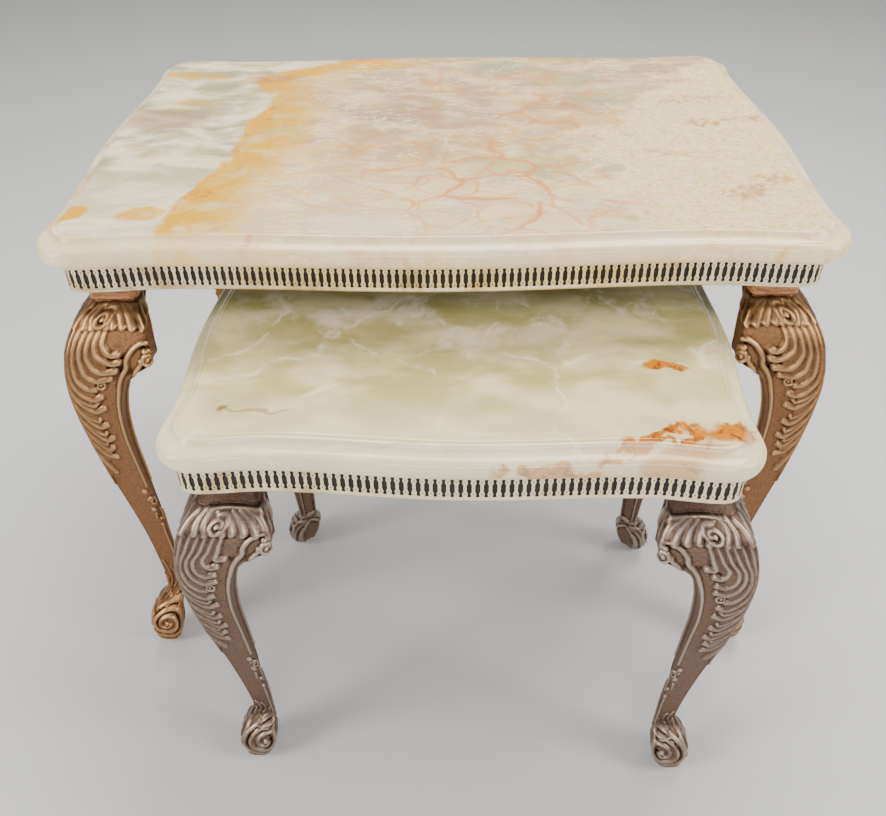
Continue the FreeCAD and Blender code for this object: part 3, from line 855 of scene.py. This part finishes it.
def onyx_large(table):
    """Grey-green at the left, then a gold band, veined peach and beige, and sandy speckle at the right."""
    shader = Shader("onyx_large")
    spot = shader.spot_on(table)
    flow = spot.warp(70, 46, 3)
    ragged = flow.warp(14, 11, 3)
    streaky = flow.stretched(1, 2.2)
    x, y = ragged.part("X"), spot.part("Y")

    gold_line = [(-115, 175), (-168, 135), (-160, 88), (-158, 23), (-166, -44), (-176, -85), (-186, -122)]
    from_gold = x - y.line(gold_line + [(-190, -200)], (-212, 212), (-320, 320))
    sand_line = [(290, 205), (240, 150), (205, 105), (178, 50), (130, -20), (124, -100), (160, -195)]
    frayed = (spot.noise(34, 6, 0.68) - 0.5) * 170.0
    from_sand = x - y.line(sand_line, (-212, 212), (-320, 320)) + frayed

    left = streaky.noise(60, 5, 0.55).step(0.38, 0.62).mix(GREY_GREEN, CREAM)
    olive = streaky.noise(34, 4, 0.6).step(0.58, 0.72)
    left = (olive * 0.6).mix(left, colour(176, 172, 132))
    hints = streaky.noise(28, 4, 0.6).step(0.54, 0.68)
    left = (hints * 0.4).mix(left, colour(240, 214, 140))
    middle = streaky.noise(48, 5, 0.6).step(0.4, 0.66).mix(BEIGE, colour(240, 222, 184))
    cool = flow.noise(55, 3, 0.5).step(0.52, 0.7)
    middle = (cool * 0.7).mix(middle, colour(196, 190, 168))
    base = from_gold.step(-6, 4).mix(left, middle)

    base = (y.step(-40, -150) * 0.5).mix(base, CREAM)
    greens = ragged.spots(
        (1.0, 85, -84, 62, 30), (1.0, 165, 75, 34, 22), (1.0, 120, 130, 40, 26),
        (1.0, 52, 165, 34, 18), (1.0, 160, -172, 24, 9),
    )
    base = (greens * 0.75).mix(base, PALE_GREEN)
    dusk = ragged.spots((1.0, 100, 48, 26, 17), (1.0, -45, 40, 46, 20), (1.0, -250, 30, 42, 26))
    base = (dusk * 0.55).mix(base, colour(190, 154, 122))

    peach = from_gold.step(-12, 2) * from_gold.step(130, 30) * streaky.noise(40, 4, 0.6).step(0.35, 0.62)
    base = (peach * 0.75).mix(base, PEACH)
    gold_clouds = ragged.noise(26, 4, 0.6).step(0.3, 0.56)
    gold = from_gold.step(-14, -7) * from_gold.step(58, 14) * gold_clouds
    gold_patches = ragged.spots(
        (1.0, -275, -158, 17, 12, 35, 0.15), (0.8, -219, -159, 17, 13, 10, 0.15),
        (0.9, -75, 176, 52, 15), (0.7, 128, 196, 50, 10), (0.75, -250, 146, 34, 11, -4),
        (0.5, -78, -38, 20, 10), (0.35, -235, 72, 30, 8),
    )
    base = (gold | gold_patches * gold_clouds).mix(base, GOLD)
    burnt = ragged.noise(15, 4, 0.65).step(0.56, 0.72) * gold
    burnt = burnt | ragged.spot(-168, 137, 26, 17) * 0.65
    base = (burnt * 0.7).mix(base, DEEP_GOLD)

    ripples = spot.warp(22, 16, 3).stretched(0.32, 1.6).noise(9, 3, 0.55)
    white = abs(ripples - 0.5).step(0.035, 0.0) * from_gold.step(10, 60) * from_sand.step(10, -30)
    white = white * flow.noise(46, 2).step(0.42, 0.6)
    base = (white * 0.9).mix(base, colour(255, 250, 232))

    tangled = flow.warp(24, 15, 4)
    net = tangled.cracks(66, 3.6, (1.3, 0.8, 1))
    thin_net = tangled.cracks(32, 1.7, (1.5, 0.8, 1))
    broken = flow.noise(30, 3).step(0.32, 0.5)
    here = ragged.spots(
        (1.0, 40, -110, 118, 88, -25, 0.4), (0.85, 112, 30, 90, 60, 35, 0.4),
        (0.6, 60, 120, 120, 40, 0, 0.4), (0.5, -70, -120, 66, 50, 0, 0.4),
    )
    halo = tangled.cracks(58, 22, (1.25, 0.8, 1)) * here * broken
    base = (halo * 0.45).mix(base, PEACH)
    veins = (net | thin_net * 0.7) * here * broken
    base = (veins * 0.85).mix(base, CORAL)

    specks = spot.stretched(0.8, 1.3).noise(4.2, 5, 0.75).step(0.48, 0.62)
    sand = (specks * 0.7).mix(SAND, colour(222, 184, 128))
    chalky = spot.noise(11, 4, 0.6).step(0.5, 0.66)
    sand = (chalky * 0.6).mix(sand, colour(255, 248, 224))
    tan_here = ragged.spots(
        (1.0, 232, 12, 22, 10), (1.0, 268, 14, 26, 8), (1.0, 236, -128, 22, 13),
        (1.0, 262, -106, 20, 11), (0.8, 232, 62, 40, 12), (0.6, 190, -60, 28, 9),
        (0.9, 200, 120, 46, 10, -8),
    )
    tan_here = tan_here * ragged.noise(8, 4, 0.65).step(0.4, 0.6)
    sand = (tan_here * 0.75).mix(sand, TAN)
    base = from_sand.step(-14, 16).mix(base, sand)

    edge_veins = tangled.cracks(70, 5, (1, 1, 3)) * flow.noise(60).step(0.5, 0.62)
    tint = flow.noise(40, 3).step(0.5, 0.66)
    # The moulding's paler cream, blended over the top's colour below its flat, is a painted highlight along
    # the moulded edge; its tint and coral veins are the stone's own.
    moulding_with_painted_highlight = (tint * 0.5).mix(colour(250, 238, 208), colour(244, 208, 138))
    moulding_with_painted_highlight = (edge_veins * 0.7).mix(moulding_with_painted_highlight, CORAL)
    finish_onyx(shader, spot, (spot.part("Z").step(-0.4, -2.0) * 0.55).mix(base, moulding_with_painted_highlight))
    return shader.material


def finish_onyx(shader, spot, base):
    """The polish that both slabs share, and the depth that it gives to their colours."""
    marks = spot.noise(18, 5, 0.6).step(0.3, 0.75)
    shader.set(Base_Color=shader.add("Gamma", {"Color": base, "Gamma": POLISH_DEPTH}))
    shader.set(Roughness=marks.spread(0.07, 0.16), Specular_IOR_Level=0.4)
    shader.set(Coat_Weight=0.12, Coat_Roughness=0.04)
    shader.bump(spot.noise(24, 3, 0.5), 0.05, 0.001)


def onyx_small(table):
    """Olive green under milky clouds, with painted shade toward the back and painted light at the front,
    fine white cracks and a rust vein at the front right.
    """
    shader = Shader("onyx_small")
    spot = shader.spot_on(table)
    flow = spot.warp(60, 40, 3)
    ragged = flow.warp(12, 9, 3)
    streaky = flow.stretched(1, 2.0)
    x, y = spot.part("X"), spot.part("Y")

    base = streaky.noise(75, 4, 0.5).step(0.36, 0.66).mix(colour(196, 188, 132), colour(238, 226, 184))
    milk = spot.warp(30, 26, 4).noise(42, 5, 0.62).step(0.5, 0.64)
    milk_here = flow.spots(
        (1.0, -20, 10, 120, 52, 8, 0.4), (1.0, 95, 30, 80, 40, 0, 0.4),
        (0.7, -120, 40, 60, 50, 0, 0.4),
    )
    base = (milk * milk_here * 0.9).mix(base, colour(248, 240, 214))
    # The olive patches are the stone's own colour, but they are kept to the back half, and the front is
    # blended toward cream: together a painted shade at the back, under the large table, and painted light at
    # the front.
    olive = flow.noise(36, 4, 0.6).step(0.56, 0.7)
    base = (olive * 0.5 * y.step(-60, 60)).mix(base, colour(168, 160, 100))
    base = (y.step(-70, -140) * 0.65).mix(base, colour(244, 234, 200))
    cracks = flow.warp(20, 12, 4).cracks(95, 2.4, (1.2, 1, 1)) * flow.noise(34).step(0.44, 0.58)
    base = (cracks * 0.6).mix(base, colour(252, 248, 228))

    vein_line = [(-156, 23), (-150, 66), (-128, 119), (-112, 179), (-104, 199)]
    from_vein = abs(ragged.part("Y") - x.line(vein_line, (0, 200), (-200, 0)))
    vein_width = spot.noise(26, 3).step(0.35, 0.65).maths("MULTIPLY_ADD", 10.0, 0.5)
    band = (from_vein - vein_width).step(3.0, -2.0) * x.step(10, 34)
    band = band * ragged.noise(13, 4, 0.6).step(0.36, 0.5)
    rust_spots = ragged.spots(
        (1.0, 140, -54, 13, 6, 12, 0.3), (1.0, 156, -54, 9, 5, -10, 0.3),
        (0.95, 176, -116, 15, 8, 20), (0.8, 143, -140, 26, 9, 20),
    )
    rust = band.maths("MULTIPLY", 1.3, use_clamp=True) | rust_spots
    base = (flow.spot(140, -134, 60, 24, 18) * 0.5).mix(base, colour(232, 214, 178))
    base = rust.mix(base, colour(212, 142, 24))
    burnt = rust * ragged.noise(8, 4, 0.65).step(0.5, 0.66)
    base = (burnt * 0.85).mix(base, colour(136, 72, 14))
    knot = ragged.spots(
        (1.0, -155, -100, 5, 3), (0.6, -135, -106, 22, 1.2, -14), (0.5, -37, -138, 14, 1.0, 5),
    )
    base = (knot * 0.7).mix(base, colour(140, 108, 62))
    # The moulding is blended toward pale cream as a painted highlight along the moulded edge.
    edge = spot.part("Z").step(-0.4, -2.0)
    finish_onyx(shader, spot, (edge * 0.4).mix(base, colour(240, 234, 212)))
    return shader.material


def cast_metal(table, mid, ground_tone, bright):
    """Antiqued casting: dark in its hollows, matt on its ground, rubbed bright on what stands out."""
    shader = Shader("cast_metal_" + table["body"])
    spot = shader.spot_on(table)
    cavity = shader.add("Attribute", {}, "Fac", attribute_name="cavity")
    relief = shader.add("Attribute", {}, "Fac", attribute_name="relief")
    mottle = spot.noise(7, 4, 0.6)
    worn = cavity + mottle.maths("MULTIPLY_ADD", 0.3, -0.15)
    ground = relief.step(0.4, 0.08)
    grain = spot.noise(1.8, 3, 0.65).step(0.42, 0.62)
    base = (grain * 0.3).mix(ground.mix(mid, ground_tone), colour(60, 42, 32))
    base = worn.step(0.08, 0.42).mix(colour(24, 16, 12), base)
    rubbed = worn.step(0.42, 0.78) * relief.step(0.6, 1.7) * 0.6
    shader.set(Base_Color=rubbed.mix(base, bright), Metallic=1.0)
    shader.set(Roughness=ground.maths("MULTIPLY_ADD", 0.24, 0.28) + mottle * 0.16)
    shader.bump(spot.noise(1.1, 3, 0.7) * (ground + 0.2), 0.5, 0.0007)
    return shader.material


def gallery_metal(table):
    """The strip's pale lacquered brass."""
    shader = Shader("gallery_metal_" + table["body"])
    spot = shader.spot_on(table)
    tarnish = spot.noise(30, 4, 0.6).step(0.5, 0.72)
    shader.set(Base_Color=tarnish.mix(colour(244, 230, 192), colour(214, 186, 136)), Metallic=1.0)
    shader.set(Roughness=spot.noise(5, 3, 0.6).spread(0.24, 0.42))
    shader.bump(spot.noise(1.5, 2, 0.5), 0.08, 0.0002)
    return shader.material


def painted_board(table):
    """Black paint over the board's rough fibres."""
    shader = Shader("black_board_" + table["body"])
    spot = shader.spot_on(table)
    shade = spot.noise(25, 4, 0.6).step(0.35, 0.7)
    shader.set(Base_Color=shade.mix(colour(14, 12, 11), colour(34, 28, 24)), Roughness=0.62)
    shader.bump(spot.stretched(0.15, 1).noise(1.2, 4, 0.6), 0.35, 0.0004)
    return shader.material


def pad_wood(table):
    """Warm stained wood of the blocks over the legs."""
    shader = Shader("pad_wood_" + table["body"])
    grain = shader.spot_on(table).warp(14, 3).stretched(0.12, 1).noise(1.8, 4, 0.6)
    tone = grain.step(0.35, 0.65)
    shader.set(Base_Color=tone.mix(colour(128, 78, 44), colour(186, 128, 82)), Roughness=0.45)
    shader.bump(grain, 0.2, 0.0003)
    return shader.material


def plain_steel(table):
    """Zinc-plated steel of the studs and inserts."""
    shader = Shader("plated_steel_" + table["body"])
    spot = shader.spot_on(table)
    bloom = spot.noise(4, 4, 0.6).step(0.4, 0.7)
    shader.set(Base_Color=bloom.mix(colour(176, 178, 182), colour(140, 140, 142)), Metallic=1.0)
    shader.set(Roughness=bloom.spread(0.28, 0.5))
    shader.bump(spot.noise(0.8, 2, 0.5), 0.1, 0.0002)
    return shader.material


def dried_adhesive(table):
    """Amber adhesive with a soft skin."""
    shader = Shader("dried_adhesive_" + table["body"])
    spot = shader.spot_on(table)
    tone = spot.noise(6, 4, 0.6).step(0.35, 0.7)
    shader.set(Base_Color=tone.mix(colour(196, 168, 110), colour(222, 202, 150)), Roughness=0.4)
    shader.bump(spot.noise(3, 3, 0.6), 0.3, 0.0005)
    return shader.material


def dress_nodes(table):
    """Gives the CAD nodes that stay in view, or inside, their materials."""
    looks = {
        "top_board": painted_board(table),
        "adhesive_dabs": dried_adhesive(table),
        "leg_studs": plain_steel(table),
        "threaded_inserts": plain_steel(table),
    }
    wood = pad_wood(table)
    for corner in CORNERS:
        looks["leg_pad_" + corner] = wood
    for node, material in looks.items():
        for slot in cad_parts[table["prefix"] + node].material_slots:
            slot.material = material


# --- Camera, light and floor ---


def aim(position, pitch, roll, yaw):
    """A camera's matrix: it looks along +Y, tipped down by pitch, rolled, then turned about the vertical."""
    forward = np.array([0, math.cos(pitch), -math.sin(pitch)])
    up = np.array([0, math.sin(pitch), math.cos(pitch)])
    right = np.array([1.0, 0, 0])
    rolled_right = math.cos(roll) * right + math.sin(roll) * up
    rolled_up = math.cos(roll) * up - math.sin(roll) * right
    axes = Matrix(np.stack([rolled_right, rolled_up, -forward], axis=1).tolist()).to_4x4()
    return Matrix.Translation(position) @ Matrix.Rotation(yaw, 4, "Z") @ axes


def add_camera():
    data = bpy.data.cameras.new("camera")
    data.lens = 35.34
    data.sensor_width = 36.0
    data.clip_start = 0.01
    camera = bpy.data.objects.new("camera", data)
    angles = (math.radians(degrees) for degrees in (39.0, -0.84, 0.79))
    camera.matrix_world = aim((0.00686, -0.67851, 0.7505), *angles)
    bpy.context.collection.objects.link(camera)
    bpy.context.scene.camera = camera


def add_light(name, position, target, size, power, tint=(1, 1, 1)):
    data = bpy.data.lights.new(name, "AREA")
    data.shape = "RECTANGLE"
    data.size, data.size_y = size
    data.energy = power
    data.color = tint
    lamp = bpy.data.objects.new(name, data)
    lamp.location = position
    away = Matrix.Translation(position).translation - Matrix.Translation(target).translation
    lamp.rotation_euler = away.to_track_quat("Z", "Y").to_euler()
    bpy.context.collection.objects.link(lamp)


def add_studio():
    world = bpy.data.worlds.new("studio")
    world.use_nodes = True
    background = world.node_tree.nodes["Background"]
    background.inputs["Color"].default_value = (1.0, 0.98, 0.95, 1)
    background.inputs["Strength"].default_value = 0.5
    bpy.context.scene.world = world
    add_light("softbox_above", (0.2, 0.7, 1.9), (0, 0.05, 0.4), (1.6, 0.8), 46, (1.0, 0.97, 0.91))
    add_light("softbox_left", (-1.5, -0.9, 1.1), (0, -0.1, 0.3), (0.7, 1.2), 25, (1.0, 0.95, 0.88))
    add_light("softbox_right", (1.6, -0.7, 1.3), (0, -0.1, 0.3), (0.7, 1.2), 23, (1.0, 0.95, 0.88))
    add_light("front_fill", (0.1, -2.0, 0.9), (0, -0.1, 0.25), (1.2, 0.6), 15)


def add_floor():
    half = 3.0
    corners = np.array([(-half, -half, 0), (half, -half, 0), (half, half, 0), (-half, half, 0)])
    floor = add_mesh("floor", corners, [np.arange(4)[None, :]])
    shader = Shader("pale_floor")
    grain = shader.add("TexCoord", {}, "Object").noise(0.4, 3, 0.5)
    shader.set(Base_Color=grain.mix(colour(206, 207, 209), colour(212, 213, 214)), Roughness=0.7)
    floor.data.materials.append(shader.material)


add_camera()
add_studio()
add_floor()

metals = {
    "large_": cast_metal(LARGE, colour(140, 102, 70), colour(150, 110, 78), colour(222, 180, 128)),
    "small_": cast_metal(SMALL, colour(118, 98, 86), colour(128, 106, 92), colour(202, 188, 172)),
}
for table, onyx in ((LARGE, onyx_large(LARGE)), (SMALL, onyx_small(SMALL))):
    brass = gallery_metal(table)
    stone_top(table, onyx)
    gallery_strip(table, brass)
    gallery_pins(table, brass)
    form = make_leg_form(table)
    for corner in CORNERS:
        leg(table, corner, form, metals[table["prefix"]])
    dress_nodes(table)
